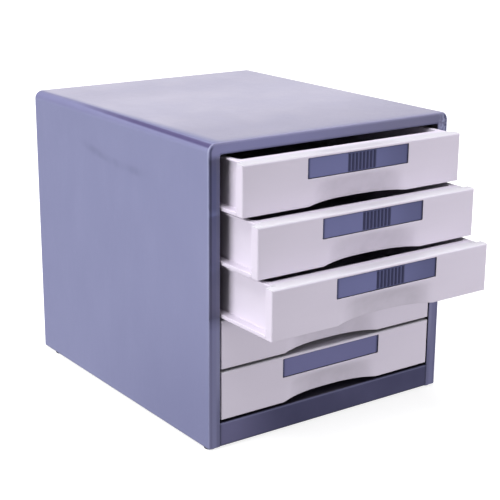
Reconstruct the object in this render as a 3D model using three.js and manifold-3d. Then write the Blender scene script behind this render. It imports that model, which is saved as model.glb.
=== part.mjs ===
// Desktop file drawer: a folded sheet-steel case that holds five moulded drawers on runner rails.
//
// Units are millimetres. +X is the right-hand side seen from the front, +Y points to the back and +Z is up.
// The origin is on the desk, under the middle of the whole object with its upper drawers pulled out.
// Inside the case group, y = 0 is the plane of the front rim and z = 0 is the bottom of the case.
// Inside a drawer's group, y = 0 is the drawer's face and z = 0 is its bottom.

import * as THREE from "three";
import { mergeVertices } from "three/addons/utils/BufferGeometryUtils.js";
import Module from "manifold-3d";

const wasm = await Module();
wasm.setup();

// Case
const caseWidth = 300;
const caseDepth = 353;
const caseHeight = 305;
const caseSheet = 1.2;
const caseCornerRadius = 9;
const caseFoldRadius = 1.8;
const caseEdgeRadius = 1.2;
const sideRimWidth = 13;
const topRimHeight = 11.7;
const rimReturnDepth = 10;
const openingCornerRadius = 2.5;
const bottomFlangeWidth = 15;
const rearFlangeWidth = 14;

// The gap between pieces that lie on each other, and how far a cutting shape runs past what it cuts
const seat = 0.3;
const overrun = 5;

// Back panel and its screws
const backPanelSheet = 1;
const backPanelMargin = 4;
const backPanelCornerRadius = 6;
const backScrewInset = 6;
const backScrewHeadRadius = 3.6;
const backScrewHeadHeight = 1.7;
const backScrewShankRadius = 1.7;
const backScrewShankLength = 7;
const screwHoleClearance = 0.4;
const headShoulderShare = 0.7;
const headCrownShare = 0.12;

// Base panel
const basePanelSheet = 1;

// Plinth under the lowest drawer
const plinthHeight = 25;
const plinthSheet = 1;
const plinthBend = 2;
const plinthTopLeg = 25;
const plinthBottomLeg = 18;

// Feet
const footHeight = 2;
const footRadius = 6;
const footEdgeRadius = 0.8;
const footStemRadius = 2.5;
const footBarbRadius = 3.6;
const footBarbHeight = 1.2;
const footTipRadius = 1.6;
const footTipHeight = 1.5;
const footSideInset = 7;
const footFrontInset = 9;
const footRearInset = 29;
const footHoleClearance = 0.4;

// Drawers: how many, the gaps round their fronts, and how far each stands pulled out
const drawerCount = 5;
const frontSideGap = 1.5;
const frontTopGap = 3.9;
const frontBottomGap = 3.6;
const drawerGap = 3.2;
const firstPullOut = 34;
const secondPullOut = 58.2;
const thirdPullOut = 80.8;
const pullOuts = [firstPullOut, secondPullOut, thirdPullOut, 0, 0];
const drawerTravel = 240;

// Drawer front, a hollow moulding that is open at the bottom and at the back
const frontWall = 2.4;
const frontTopEdgeRadius = 2;
const frontSideEdgeRadius = 1.6;
const ledgeDepth = 22;
const ledgeWall = 2.2;
const cheekDepth = 10;
const cheekWall = 2.2;
const returnOverlap = 2.4;
const ribWall = 1.6;

// How far the label and the finger scoop stand to the right of a front's middle
const labelShift = 2.4;

// Finger scoop: a hollow in the face that deepens downwards to the bottom edge, which rises a little there
const scoopWidth = 122;
const scoopDepth = 9;
const scoopLand = 0.6;
const scoopSidePower = 2.4;
const scoopDropPower = 2;
const archRise = 1.5;
const archFootRiseShare = 0.3;
const archFootShare = 0.9;
const archShoulderShare = 0.7;
const archCrownShare = 0.3;

// Label plate and its recess
const labelWidth = 125;
const labelHeight = 19;
const labelThickness = 1.6;
const labelTopMargin = 3.3;
const labelSetback = 0.8;
const labelGap = 0.5;
const labelCornerRadius = 0.8;
const labelPegRadius = 1.5;
const labelPegInset = 16;
const barCount = 8;
const barFieldWidth = 36;
const barFieldShift = 3.8;
const barHeight = 0.5;
const barEndMargin = 1;
const barWidthShare = 0.62;
const barredPlateCount = 3;

// Screws that hold a front to its tray
const frontScrewInset = 32;
const frontScrewHeadRadius = 3.2;
const frontScrewHeadHeight = 1.9;
const frontScrewShankRadius = 1.5;
const frontScrewShankLength = 13;
const bossWall = 2.2;

// Tray
const trayWall = 2;
const trayFloor = 2.2;
const trayFloorLift = 0.5;
const trayRearClearance = 8;
const trayCornerRadius = 6;
const rimLip = 3.5;
const rimThickness = 1.8;
const flangeWidth = 9.5;
const flangeThickness = 3.5;
const earWidth = 8;
const earLength = 12;
const earThickness = 2.3;
const stopClearance = 0.5;

// Runner rails
const railSheet = 1;
const railBend = 1.5;
const railWallGap = 2;
const railFrontGap = 3.5;
const railRearGap = 2.5;
const railTabGap = 1.8;

// Worked out from the sizes above
const halfCase = caseWidth / 2;
const halfOpening = halfCase - sideRimWidth;
const openingTop = caseHeight - topRimHeight;
const frontWidth = 2 * (halfOpening - frontSideGap);
const halfFront = frontWidth / 2;
const drawerSpace = openingTop - plinthHeight - frontTopGap - frontBottomGap;
const frontHeight = (drawerSpace - (drawerCount - 1) * drawerGap) / drawerCount;
const drawerPitch = frontHeight + drawerGap;
const lowestDrawerBottom = plinthHeight + frontBottomGap;
const longestPullOut = Math.max(...pullOuts);
const shellDepth = caseDepth - backPanelSheet - seat;
const halfTray = halfFront - flangeWidth;
const trayFront = ledgeDepth - seat - trayWall;
const trayBack = shellDepth - caseSheet - trayRearClearance;
const railFront = rimReturnDepth + railFrontGap;
const railBack = shellDepth - caseSheet - railRearGap;
const railTop = flangeThickness + seat + railSheet;
const railBottom = -seat - railSheet;
const earFront = railFront + railSheet + drawerTravel + stopClearance;
const labelBack = labelSetback + labelThickness;
const recessDepth = labelBack + seat;
const labelTop = frontHeight - labelTopMargin;
const labelBottom = labelTop - labelHeight;
const labelReach = labelWidth / 2 + labelGap;
const halfScoop = scoopWidth / 2;
const scoopTop = labelBottom - labelGap - scoopLand;
const frontScrewX = halfTray - frontScrewInset;
const labelMiddle = (labelBottom + labelTop) / 2;
const frontRoof = frontHeight - ledgeWall;
const ledgeReach = halfTray - trayWall - seat;
const frontScrewZ = (trayFloorLift + trayFloor + frontHeight) / 2;

// How finely round shapes are drawn: steps along each curve, rings of a rounded edge, sides of a round piece
const wideCornerSteps = 4;
const cornerSteps = 3;
const smallCornerSteps = 2;
const edgeSteps = 2;
const archSteps = 6;
const scoopColumns = 14;
const scoopRows = 5;
const footSides = 16;
const screwSides = 12;
const bossSides = 16;
const holeSides = 12;
const pegSides = 10;

const casePaint = new THREE.MeshStandardMaterial({ color: 0x9396bc, roughness: 0.45, metalness: 0.15 });
const plinthPaint = new THREE.MeshStandardMaterial({ color: 0x5c5f84, roughness: 0.5, metalness: 0.15 });
const drawerPlastic = new THREE.MeshStandardMaterial({ color: 0xd3cdda, roughness: 0.55, metalness: 0 });
const labelPlastic = new THREE.MeshStandardMaterial({ color: 0x666aa0, roughness: 0.4, metalness: 0 });
const railSteel = new THREE.MeshStandardMaterial({ color: 0x6d7076, roughness: 0.4, metalness: 0.8 });
const screwSteel = new THREE.MeshStandardMaterial({ color: 0xa9abb0, roughness: 0.3, metalness: 0.9 });
const footRubber = new THREE.MeshStandardMaterial({ color: 0x26262a, roughness: 0.9, metalness: 0 });

// Solids and geometries

function toSolid(geometry) {
  const bare = geometry.index ? geometry.toNonIndexed() : geometry.clone();
  bare.deleteAttribute("normal");
  bare.deleteAttribute("uv");
  const merged = mergeVertices(bare);
  const corners = merged.index.array;
  const kept = [];
  for (let i = 0; i < corners.length; i += 3) {
    const [a, b, c] = [corners[i], corners[i + 1], corners[i + 2]];
    if (a !== b && b !== c && c !== a) {
      kept.push(a, b, c);
    }
  }
  const vertProperties = new Float32Array(merged.attributes.position.array);
  return new wasm.Manifold(new wasm.Mesh({ numProp: 3, vertProperties, triVerts: new Uint32Array(kept) }));
}

function toGeometry(solid) {
  const mesh = solid.getMesh();
  const geometry = new THREE.BufferGeometry();
  geometry.setAttribute("position", new THREE.BufferAttribute(mesh.vertProperties, 3));
  geometry.setIndex(new THREE.BufferAttribute(mesh.triVerts, 1));
  const faceted = geometry.toNonIndexed();
  faceted.computeVertexNormals();
  return faceted;
}

function joined(solids) {
  return solids.reduce((whole, solid) => whole.add(solid));
}

function cut(solid, tools) {
  return tools.reduce((rest, tool) => rest.subtract(tool), solid);
}

function block(left, right, front, back, bottom, top) {
  const box = new THREE.BoxGeometry(right - left, back - front, top - bottom);
  box.translate((left + right) / 2, (front + back) / 2, (bottom + top) / 2);
  return toSolid(box);
}

// A block on one side of the middle, from its near face to its far one
function sideBlock(side, near, far, front, back, bottom, top) {
  const ends = [side * near, side * far];
  return block(Math.min(...ends), Math.max(...ends), front, back, bottom, top);
}

// A round bar along the depth of the case
function bar(x, z, radius, front, back, sides) {
  const cylinder = new THREE.CylinderGeometry(radius, radius, back - front, sides);
  cylinder.translate(x, (front + back) / 2, z);
  return toSolid(cylinder);
}

// An upright round bar
function post(x, y, radius, bottom, top, sides) {
  const cylinder = new THREE.CylinderGeometry(radius, radius, top - bottom, sides);
  cylinder.rotateX(Math.PI / 2);
  cylinder.translate(x, y, (bottom + top) / 2);
  return toSolid(cylinder);
}

// A rectangle with its own radius at the bottom corners and at the top corners
function roundedOutline(left, right, bottom, top, bottomRadius, topRadius) {
  const shape = new THREE.Shape();
  shape.moveTo(left + bottomRadius, bottom);
  shape.lineTo(right - bottomRadius, bottom);
  if (bottomRadius > 0) {
    shape.absarc(right - bottomRadius, bottom + bottomRadius, bottomRadius, -Math.PI / 2, 0, false);
  }
  shape.lineTo(right, top - topRadius);
  if (topRadius > 0) {
    shape.absarc(right - topRadius, top - topRadius, topRadius, 0, Math.PI / 2, false);
  }
  shape.lineTo(left + topRadius, top);
  if (topRadius > 0) {
    shape.absarc(left + topRadius, top - topRadius, topRadius, Math.PI / 2, Math.PI, false);
  }
  shape.lineTo(left, bottom + bottomRadius);
  if (bottomRadius > 0) {
    shape.absarc(left + bottomRadius, bottom + bottomRadius, bottomRadius, Math.PI, 1.5 * Math.PI, false);
  }
  return shape;
}

// A folded strip of sheet: a web at webAt with a leg at each end, both on the side that towards gives
function channelOutline({ webAt, towards, bottom, top, lowerLeg, upperLeg, sheet, bend }) {
  const at = (distance) => webAt + towards * distance;
  const shape = new THREE.Shape();
  shape.moveTo(at(lowerLeg), bottom);
  shape.lineTo(at(bend), bottom);
  shape.quadraticCurveTo(webAt, bottom, webAt, bottom + bend);
  shape.lineTo(webAt, top - bend);
  shape.quadraticCurveTo(webAt, top, at(bend), top);
  shape.lineTo(at(upperLeg), top);
  shape.lineTo(at(upperLeg), top - sheet);
  shape.lineTo(at(bend), top - sheet);
  shape.quadraticCurveTo(at(sheet), top - sheet, at(sheet), top - bend);
  shape.lineTo(at(sheet), bottom + bend);
  shape.quadraticCurveTo(at(sheet), bottom + sheet, at(bend), bottom + sheet);
  shape.lineTo(at(lowerLeg), bottom + sheet);
  return shape;
}

// An outline in x and z, drawn through the depth of the case; edgeRadius rounds its front and back edges
function alongDepth(outline, front, back, steps = cornerSteps, edgeRadius = 0) {
  const geometry = new THREE.ExtrudeGeometry(outline, {
    depth: back - front - 2 * edgeRadius,
    curveSegments: steps,
    bevelEnabled: edgeRadius > 0,
    bevelThickness: edgeRadius,
    bevelSize: edgeRadius,
    bevelOffset: -edgeRadius,
    bevelSegments: edgeSteps,
  });
  const turn = new THREE.Matrix4().makeBasis(
    new THREE.Vector3(1, 0, 0),
    new THREE.Vector3(0, 0, 1),
    new THREE.Vector3(0, -1, 0),
  );
  geometry.applyMatrix4(turn);
  geometry.translate(0, back - edgeRadius, 0);
  return toSolid(geometry);
}

// An outline in y and z, drawn across the width of the case
function acrossWidth(outline, left, right, steps = cornerSteps) {
  const geometry = new THREE.ExtrudeGeometry(outline, {
    depth: right - left,
    curveSegments: steps,
    bevelEnabled: false,
  });
  const turn = new THREE.Matrix4().makeBasis(
    new THREE.Vector3(0, 1, 0),
    new THREE.Vector3(0, 0, 1),
    new THREE.Vector3(1, 0, 0),
  );
  geometry.applyMatrix4(turn);
  geometry.translate(left, 0, 0);
  return toSolid(geometry);
}

// An outline in x and y, drawn upwards
function upward(outline, bottom, top, steps = cornerSteps) {
  const geometry = new THREE.ExtrudeGeometry(outline, {
    depth: top - bottom,
    curveSegments: steps,
    bevelEnabled: false,
  });
  geometry.translate(0, 0, bottom);
  return toSolid(geometry);
}

function addPiece(group, name, shape, material) {
  const geometry = shape.isBufferGeometry ? shape : toGeometry(shape);
  const piece = new THREE.Mesh(geometry, material.clone());
  piece.name = name;
  group.add(piece);
  return piece;
}

// A pan-head screw along the depth, with the top of its head at y = 0 and its tip towards the front
function screwGeometry(headRadius, headHeight, shankRadius, shankLength) {
  const tip = -headHeight - shankLength;
  const profile = [
    new THREE.Vector2(0, tip),
    new THREE.Vector2(shankRadius / 2, tip),
    new THREE.Vector2(shankRadius, tip + shankRadius),
    new THREE.Vector2(shankRadius, -headHeight),
    new THREE.Vector2(headRadius, -headHeight),
    new THREE.Vector2(headRadius, -headHeight / 2),
    new THREE.Vector2(headRadius * headShoulderShare, -headHeight * headCrownShare),
    new THREE.Vector2(0, 0),
  ];
  return new THREE.LatheGeometry(profile, screwSides);
}

// The opening in the front rim, grown by a margin
function openingOutline(margin, bottom) {
  const reach = halfOpening + margin;
  return roundedOutline(-reach, reach, bottom, openingTop + margin, 0, openingCornerRadius + margin);
}

// Case pieces

function footPlaces() {
  const x = halfCase - footSideInset;
  const rear = caseDepth - footRearInset;
  return [
    [-x, footFrontInset],
    [x, footFrontInset],
    [-x, rear],
    [x, rear],
  ];
}

// Screws at the back panel's corners and half way up its sides, over the shell's rear flanges
function backScrewPlaces() {
  const x = halfCase - backPanelMargin - backScrewInset;
  const low = backPanelMargin + backScrewInset;
  const places = [];
  for (const z of [low, caseHeight / 2, caseHeight - low]) {
    places.push([-x, z], [x, z]);
  }
  return places;
}

function backScrewHoles(front, back) {
  const radius = backScrewShankRadius + screwHoleClearance;
  return backScrewPlaces().map(([x, z]) => bar(x, z, radius, front, back, holeSides));
}

// The sheet is a closed skin first; the openings then leave its rims and flanges turned in
function outerShell() {
  const inside = halfCase - caseSheet;
  const innerBack = shellDepth - caseSheet;
  const outline = roundedOutline(-halfCase, halfCase, 0, caseHeight, caseFoldRadius, caseCornerRadius);
  const innerOutline = roundedOutline(
    -inside,
    inside,
    caseSheet,
    caseHeight - caseSheet,
    caseFoldRadius - caseSheet,
    caseCornerRadius - caseSheet,
  );
  const skin = alongDepth(outline, 0, shellDepth, wideCornerSteps, caseEdgeRadius);
  const space = alongDepth(innerOutline, caseSheet, innerBack, wideCornerSteps);

  const rearReach = halfCase - rearFlangeWidth;
  const rearOutline = roundedOutline(
    -rearReach,
    rearReach,
    rearFlangeWidth,
    caseHeight - rearFlangeWidth,
    openingCornerRadius,
    openingCornerRadius,
  );
  const rearOpening = alongDepth(rearOutline, innerBack - overrun, shellDepth + overrun);

  const bottomReach = halfCase - bottomFlangeWidth;
  const bottomBack = shellDepth - rearFlangeWidth;
  const flangeTop = caseSheet + overrun;
  const bottomOpening = block(-bottomReach, bottomReach, -overrun, bottomBack, -overrun, flangeTop);

  const rimReturn = alongDepth(openingOutline(caseSheet, caseSheet / 2), caseSheet / 2, rimReturnDepth);
  const frontOpening = alongDepth(openingOutline(0, -overrun), -overrun, rimReturnDepth + overrun);

  const footHoleRadius = footStemRadius + footHoleClearance;
  const footHoles = footPlaces().map(([x, y]) =>
    post(x, y, footHoleRadius, -overrun, flangeTop, holeSides),
  );
  const screwHoles = backScrewHoles(innerBack - overrun, shellDepth + overrun);
  const folded = cut(skin, [space, rearOpening, bottomOpening]).add(rimReturn);
  return cut(folded, [frontOpening, ...footHoles, ...screwHoles]);
}

function backPanel() {
  const reach = halfCase - backPanelMargin;
  const outline = roundedOutline(
    -reach,
    reach,
    backPanelMargin,
    caseHeight - backPanelMargin,
    backPanelCornerRadius,
    backPanelCornerRadius,
  );
  const panel = alongDepth(outline, shellDepth + seat, caseDepth);
  return cut(panel, backScrewHoles(shellDepth, caseDepth + overrun));
}

// The base panel lies on the shell's bottom flanges and starts behind the front feet
function basePanel() {
  const reach = halfCase - caseSheet - seat;
  const holeRadius = footBarbRadius + footHoleClearance;
  const front = footFrontInset + holeRadius;
  const back = shellDepth - caseSheet - seat;
  const bottom = caseSheet + seat;
  const panel = block(-reach, reach, front, back, bottom, bottom + basePanelSheet);
  const holes = footPlaces().map(([x, y]) => post(x, y, holeRadius, 0, bottom + overrun, holeSides));
  return cut(panel, holes);
}

// A folded channel whose bottom leg is notched at the ends, to clear the shell's bottom flanges
function frontPlinth() {
  const reach = halfOpening - seat;
  const legReach = halfCase - bottomFlangeWidth - seat;
  const bottom = caseSheet - plinthSheet;
  const outline = channelOutline({
    webAt: 0,
    towards: 1,
    bottom,
    top: plinthHeight,
    lowerLeg: plinthBottomLeg,
    upperLeg: plinthTopLeg,
    sheet: plinthSheet,
    bend: plinthBend,
  });
  const channel = acrossWidth(outline, -reach, reach, smallCornerSteps);
  const notchFront = caseSheet + seat;
  const notchTop = notchFront + basePanelSheet;
  const notchBack = plinthBottomLeg + overrun;
  const notches = [-1, 1].map((side) =>
    sideBlock(side, legReach, reach + overrun, notchFront, notchBack, -overrun, notchTop),
  );
  return cut(channel, notches);
}

// A push-in foot: a round pad under the case, a stem through the flange and a barb above it
function footGeometry() {
  const barbBottom = caseSheet + seat;
  const top = barbBottom + footBarbHeight + footTipHeight;
  const profile = [
    new THREE.Vector2(0, -footHeight),
    new THREE.Vector2(footRadius - footEdgeRadius, -footHeight),
    new THREE.Vector2(footRadius, footEdgeRadius - footHeight),
    new THREE.Vector2(footRadius, -seat),
    new THREE.Vector2(footStemRadius, -seat),
    new THREE.Vector2(footStemRadius, barbBottom),
    new THREE.Vector2(footBarbRadius, barbBottom),
    new THREE.Vector2(footTipRadius, top),
    new THREE.Vector2(0, top),
  ];
  const foot = new THREE.LatheGeometry(profile, footSides);
  foot.rotateX(Math.PI / 2);
  return foot;
}

// A rail for one side of one drawer: a channel round the tray's flange, with a tab across its front end
function runnerRail(side) {
  const web = halfCase - caseSheet - seat;
  const leg = web - halfTray - railWallGap;
  const outline = channelOutline({
    webAt: side * web,
    towards: -side,
    bottom: railBottom,
    top: railTop,
    lowerLeg: leg,
    upperLeg: leg,
    sheet: railSheet,
    bend: railBend,
  });
  const channel = alongDepth(outline, railFront, railBack, smallCornerSteps);
  const tabBottom = railBottom + railSheet / 2;
  const tabTop = railTop - railSheet / 2;
  const tabNear = halfFront + railTabGap;
  const tabFar = web - railSheet / 2;
  return channel.add(sideBlock(side, tabNear, tabFar, railFront, railFront + railSheet, tabBottom, tabTop));
}

// Drawer pieces

// The scoop as a cutting shape grown by a margin. It is a block whose back is pushed in, least at the top
// and at the sides; its lowest row of facets runs on below the front.
function scoopForm(margin) {
  const reach = halfScoop + margin;
  const top = scoopTop + margin;
  const form = new THREE.BoxGeometry(2 * reach, 1, scoopRows, scoopColumns, 1, scoopRows);
  const places = form.attributes.position;
  for (let i = 0; i < places.count; i += 1) {
    const x = places.getX(i);
    const row = Math.round(places.getZ(i) + scoopRows / 2) - 1;
    const z = row < 0 ? -overrun : (top * row) / (scoopRows - 1);
    const sideFall = 1 - Math.abs(x / reach) ** scoopSidePower;
    const topFall = 1 - Math.max(z / top, 0) ** scoopDropPower;
    const back = margin + scoopDepth * sideFall * topFall;
    places.setXYZ(i, x, places.getY(i) > 0 ? back : -overrun, z);
  }
  return toSolid(form);
}

function archOutline() {
  const foot = halfScoop * archFootShare;
  const shoulder = halfScoop * archShoulderShare;
  const crown = halfScoop * archCrownShare;
  const footRise = archRise * archFootRiseShare;
  const shape = new THREE.Shape();
  shape.moveTo(-halfScoop, -overrun);
  shape.lineTo(-halfScoop, 0);
  shape.bezierCurveTo(-foot, footRise, -shoulder, archRise, -crown, archRise);
  shape.lineTo(crown, archRise);
  shape.bezierCurveTo(shoulder, archRise, foot, footRise, halfScoop, 0);
  shape.lineTo(halfScoop, -overrun);
  return shape;
}

// The front's outer form: cheeks at the full width and a deeper ledge that lies between the tray's rims
function frontForm() {
  const profile = roundedOutline(0, ledgeDepth + overrun, 0, frontHeight, 0, frontTopEdgeRadius);
  const plan = roundedOutline(-halfFront, halfFront, 0, cheekDepth, frontSideEdgeRadius, 0);
  const hood = upward(plan, 0, frontHeight);
  const ledge = block(-ledgeReach, ledgeReach, cheekDepth / 2, ledgeDepth, frontRoof, frontHeight);
  return hood.add(ledge).intersect(acrossWidth(profile, -halfFront, halfFront));
}

// The space inside the front, less the wall that stays behind the scoop and round the label recess
function frontSpace() {
  const cheekInside = halfFront - cheekWall;
  const returnReach = ledgeReach - returnOverlap;
  const space = joined([
    block(-cheekInside, cheekInside, frontWall, cheekDepth - cheekWall, -overrun, frontRoof),
    block(-returnReach, returnReach, frontWall, ledgeDepth + overrun, -overrun, frontRoof),
  ]);
  const backingReach = labelReach + frontWall;
  const pocketBack = recessDepth + frontWall;
  const pocketBacking = block(-backingReach, backingReach, 0, pocketBack, scoopTop, frontHeight);
  return cut(space, [shifted(scoopForm(frontWall)), shifted(pocketBacking)]);
}

function shifted(solid) {
  return solid.translate([labelShift, 0, 0]);
}

function labelPegPlaces() {
  const x = labelWidth / 2 - labelPegInset;
  return [-x, x];
}

function labelOutline(margin) {
  const reach = labelWidth / 2 + margin;
  const bottom = labelBottom - margin;
  return roundedOutline(-reach, reach, bottom, labelTop + margin, labelCornerRadius, labelCornerRadius);
}

function drawerFront() {
  const ribBack = trayFront - seat;
  const ribFar = labelReach + frontWall;
  const ribTop = frontRoof + ledgeWall / 2;
  const holeRadius = frontScrewShankRadius + screwHoleClearance;
  const holeFront = trayFront + trayWall - frontScrewShankLength - screwHoleClearance;
  const ribs = [];
  const bosses = [];
  const screwHoles = [];
  for (const side of [-1, 1]) {
    const x = side * frontScrewX;
    ribs.push(shifted(sideBlock(side, ribFar - ribWall, ribFar, frontWall / 2, ribBack, 0, ribTop)));
    bosses.push(bar(x, frontScrewZ, holeRadius + bossWall, frontWall / 2, ribBack, bossSides));
    screwHoles.push(bar(x, frontScrewZ, holeRadius, holeFront, ribBack + overrun, holeSides));
  }
  const pegHoleBack = recessDepth + frontWall + overrun;
  const pegHoles = labelPegPlaces().map((x) =>
    bar(x, labelMiddle, labelPegRadius + seat, 0, pegHoleBack, pegSides),
  );
  const recess = alongDepth(labelOutline(labelGap), -overrun, recessDepth, smallCornerSteps);
  const arch = alongDepth(archOutline(), -overrun, scoopDepth + frontWall + overrun, archSteps);
  const moulding = joined([cut(frontForm(), [frontSpace()]), ...ribs, ...bosses]);
  const faceCuts = [recess, scoopForm(0), arch, ...pegHoles].map(shifted);
  return cut(moulding, [...faceCuts, ...screwHoles]);
}

// A label plate with two pegs behind it; on some drawers upright bars stand in its middle
function labelPlate(hasBars) {
  const plate = alongDepth(labelOutline(0), labelSetback, labelBack, smallCornerSteps);
  const pegBack = recessDepth + frontWall;
  const pegs = labelPegPlaces().map((x) =>
    bar(x, labelMiddle, labelPegRadius, labelBack - seat, pegBack, pegSides),
  );
  const bars = [];
  const pitch = barFieldWidth / barCount;
  const halfBar = (pitch * barWidthShare) / 2;
  const barFront = labelSetback - barHeight;
  const barBack = labelSetback + seat;
  const barBottom = labelBottom + barEndMargin;
  const barTop = labelTop - barEndMargin;
  for (let i = 0; hasBars && i < barCount; i += 1) {
    const x = barFieldShift + (i + 0.5) * pitch - barFieldWidth / 2;
    bars.push(block(x - halfBar, x + halfBar, barFront, barBack, barBottom, barTop));
  }
  return shifted(joined([plate, ...pegs, ...bars]));
}

// The tray's box with its rim turned outwards; wings run forward from it to the cheeks of the front
function drawerTray() {
  const inside = halfTray - trayWall;
  const lipReach = halfTray + rimLip;
  const lipBack = trayBack + rimLip;
  const wingFront = cheekDepth + seat;
  const outerRadius = trayCornerRadius + trayWall;
  const plan = roundedOutline(-halfTray, halfTray, trayFront, trayBack, 0, outerRadius);
  const lipPlan = roundedOutline(-lipReach, lipReach, wingFront, lipBack, 0, outerRadius + rimLip);
  const cavityPlan = roundedOutline(
    -inside,
    inside,
    trayFront + trayWall,
    trayBack - trayWall,
    trayCornerRadius,
    trayCornerRadius,
  );
  const earBottom = (flangeThickness - earThickness) / 2;
  const earTop = earBottom + earThickness;
  const flangeBack = trayBack - outerRadius;
  const sides = [];
  for (const side of [-1, 1]) {
    sides.push(
      sideBlock(side, inside, halfTray, wingFront, trayFront + outerRadius, 0, frontHeight),
      sideBlock(side, inside, halfFront, wingFront, flangeBack, 0, flangeThickness),
      sideBlock(side, halfTray, halfFront + earWidth, earFront, earFront + earLength, earBottom, earTop),
    );
  }
  const whole = joined([
    upward(plan, trayFloorLift, frontHeight),
    upward(lipPlan, frontHeight - rimThickness, frontHeight),
    ...sides,
  ]);
  const ledgeSpaceBottom = frontRoof - seat;
  const holeRadius = frontScrewShankRadius + screwHoleClearance;
  const holeBack = trayFront + trayWall + overrun;
  const screwHoles = [-1, 1].map((side) =>
    bar(side * frontScrewX, frontScrewZ, holeRadius, 0, holeBack, holeSides),
  );
  return cut(whole, [
    upward(cavityPlan, trayFloorLift + trayFloor, frontHeight + overrun),
    block(-inside, inside, 0, ledgeDepth + seat, ledgeSpaceBottom, frontHeight + overrun),
    block(-inside, inside, 0, trayFront, -overrun, frontHeight + overrun),
    ...screwHoles,
  ]);
}

// The whole object

const fileDrawer = new THREE.Group();
const caseGroup = new THREE.Group();
const backReach = caseDepth + seat + backScrewHeadHeight;
caseGroup.position.set(0, (longestPullOut - backReach) / 2, footHeight);
fileDrawer.add(caseGroup);

addPiece(caseGroup, "outer_shell", outerShell(), casePaint);
addPiece(caseGroup, "back_panel", backPanel(), casePaint);
addPiece(caseGroup, "base_panel", basePanel(), casePaint);
addPiece(caseGroup, "front_plinth", frontPlinth(), plinthPaint);

const footNames = ["foot_front_left", "foot_front_right", "foot_rear_left", "foot_rear_right"];
const foot = footGeometry();
footPlaces().forEach(([x, y], i) => {
  addPiece(caseGroup, footNames[i], foot, footRubber).position.set(x, y, 0);
});

const backScrew = screwGeometry(
  backScrewHeadRadius,
  backScrewHeadHeight,
  backScrewShankRadius,
  backScrewShankLength,
);
backScrewPlaces().forEach(([x, z], i) => {
  addPiece(caseGroup, `back_screw_${i + 1}`, backScrew, screwSteel).position.set(x, backReach, z);
});

const rails = { left: runnerRail(-1), right: runnerRail(1) };
const front = drawerFront();
const tray = drawerTray();
const plainPlate = labelPlate(false);
const barredPlate = labelPlate(true);
const frontScrew = screwGeometry(
  frontScrewHeadRadius,
  frontScrewHeadHeight,
  frontScrewShankRadius,
  frontScrewShankLength,
);
const frontScrewTop = trayFront + trayWall + seat + frontScrewHeadHeight;

for (let number = 1; number <= drawerCount; number += 1) {
  const bottom = lowestDrawerBottom + (drawerCount - number) * drawerPitch;
  for (const [side, rail] of Object.entries(rails)) {
    addPiece(caseGroup, `rail_${number}_${side}`, rail, railSteel).position.set(0, 0, bottom);
  }
  const drawer = new THREE.Group();
  drawer.position.set(0, -pullOuts[number - 1], bottom);
  caseGroup.add(drawer);
  const plate = number <= barredPlateCount ? barredPlate : plainPlate;
  addPiece(drawer, `drawer_${number}_front`, front, drawerPlastic);
  addPiece(drawer, `drawer_${number}_tray`, tray, drawerPlastic);
  addPiece(drawer, `drawer_${number}_label_plate`, plate, labelPlastic);
  for (const [side, x] of [["left", -frontScrewX], ["right", frontScrewX]]) {
    const screw = addPiece(drawer, `drawer_${number}_screw_${side}`, frontScrew, screwSteel);
    screw.position.set(x, frontScrewTop, frontScrewZ);
  }
}

export default fileDrawer;
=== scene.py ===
# %% [markdown]
# # A desktop file drawer in Blender
#
# The object is a folded sheet-steel case that holds five moulded plastic drawers. The three upper
# drawers stand pulled out in steps. The solids come from a CAD model that is loaded as a fixed frame,
# so every piece made here goes exactly where that frame says. This lesson gives each solid its soft
# edges, its small parts and its finish, then sets up the light and the camera.

import math

import bmesh
import bpy
from mathutils import Matrix, Vector


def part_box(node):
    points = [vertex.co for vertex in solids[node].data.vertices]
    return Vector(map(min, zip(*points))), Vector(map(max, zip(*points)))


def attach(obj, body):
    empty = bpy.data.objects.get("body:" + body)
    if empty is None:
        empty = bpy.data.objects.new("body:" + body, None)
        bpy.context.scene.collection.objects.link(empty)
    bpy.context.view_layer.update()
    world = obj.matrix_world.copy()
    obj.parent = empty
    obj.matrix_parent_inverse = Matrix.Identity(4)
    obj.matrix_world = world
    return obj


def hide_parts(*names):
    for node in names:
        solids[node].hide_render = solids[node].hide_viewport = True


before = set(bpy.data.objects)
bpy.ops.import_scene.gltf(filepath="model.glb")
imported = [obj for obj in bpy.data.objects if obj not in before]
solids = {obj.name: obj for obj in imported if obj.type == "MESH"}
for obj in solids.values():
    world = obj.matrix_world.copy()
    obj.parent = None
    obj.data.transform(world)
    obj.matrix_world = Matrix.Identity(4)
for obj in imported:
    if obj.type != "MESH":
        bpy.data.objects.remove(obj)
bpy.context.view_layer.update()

# %% [markdown]
# ## The camera
#
# The camera stands in front of the object, to its left and a little above it. Its place and lens were
# worked out from the straight edges of the case in the photograph. A camera can be turned with angles,
# but three directions are easier to read: what is right, what is up, and what lies behind it. They are
# the columns of its rotation.

# %% Place the camera
camera_place = (-0.77558, -1.07549, 0.54115)
camera_right = Vector((0.81369, -0.58126, 0.00677))
camera_up = Vector((0.16009, 0.23527, 0.95866))
camera_back = camera_right.cross(camera_up).normalized()
camera_turn = Matrix((camera_right, camera_up, camera_back)).transposed()
camera_data = bpy.data.cameras.new("camera")
camera_data.sensor_width = 36.0
camera_data.lens = 90.97
camera_data.clip_start = 0.05
camera_data.clip_end = 100.0
camera = bpy.data.objects.new("camera", camera_data)
bpy.context.scene.collection.objects.link(camera)
camera.matrix_world = Matrix.Translation(camera_place) @ camera_turn.to_4x4()
bpy.context.scene.camera = camera
print("camera at", tuple(camera.location))

# %% [markdown]
# ## Writing materials as sums
#
# A material is a tree of nodes, and most of its maths is plain sums: a mask times a strength, one minus
# a mask. Wiring each Math node by hand hides that. The class below wraps one socket, and Python's own
# operators then add the nodes, so `1 - dust * 0.2` can be read at a glance.

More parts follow.
